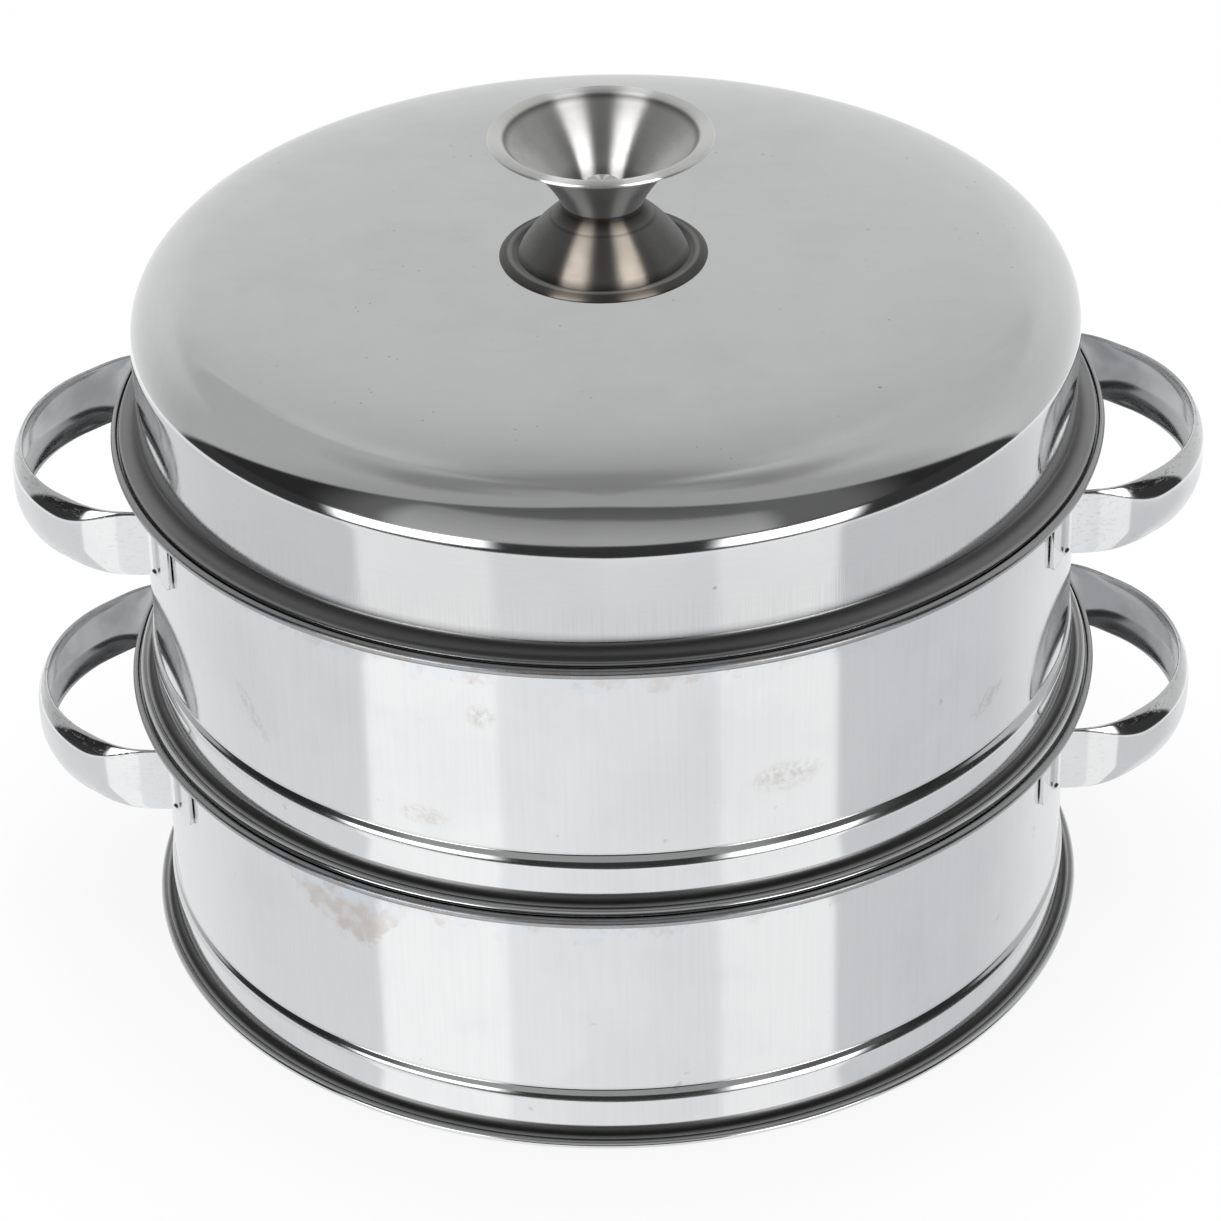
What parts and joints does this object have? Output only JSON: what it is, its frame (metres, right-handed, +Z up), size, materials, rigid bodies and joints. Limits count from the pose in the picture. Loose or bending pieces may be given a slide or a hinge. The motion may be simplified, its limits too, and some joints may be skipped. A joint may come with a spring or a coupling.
{
  "type": "stacking steamer pot",
  "caption": "Round stacking steamer in polished stainless sheet: stepped tiers with perforated floors and strap loop handles under a flat-topped lid with a spool knob.",
  "frame": {"origin": "on the plane that the foot of the lower tier stands on, under the middle of the stack", "axes": "+Z up along the axis of the tiers, +X through the right-hand handles, +Y away from the viewer"},
  "size_m": [0.332, 0.2748, 0.2377],
  "materials": {
    "polished_sheet": "polished stainless sheet with faint vertical brushing and smudges",
    "floor_sheet": "satin stainless sheet",
    "handle_strap": "polished stainless strap",
    "lid_sheet": "polished stainless sheet with small pits",
    "knob_sheet": "spun satin stainless"
  },
  "bodies": {
    "lower_tier": {"lower_shell": "polished_sheet", "lower_steam_floor": "floor_sheet", "lower_handle_right": "handle_strap", "lower_handle_left": "handle_strap"},
    "upper_tier": {"upper_shell": "polished_sheet", "upper_steam_floor": "floor_sheet", "upper_handle_right": "handle_strap", "upper_handle_left": "handle_strap"},
    "lid": {"lid_shell": "lid_sheet", "knob_base": "knob_sheet", "knob_cup": "knob_sheet", "knob_rivet": "knob_sheet"}
  },
  "joints": [
    {"name": "upper_tier_lift", "type": "slide", "parent": "lower_tier", "child": "upper_tier", "axis": [0, 0, 1], "range_m": [0, 0.15]},
    {"name": "lid_lift", "type": "slide", "parent": "upper_tier", "child": "lid", "axis": [0, 0, 1], "range_m": [0, 0.15]}
  ]
}
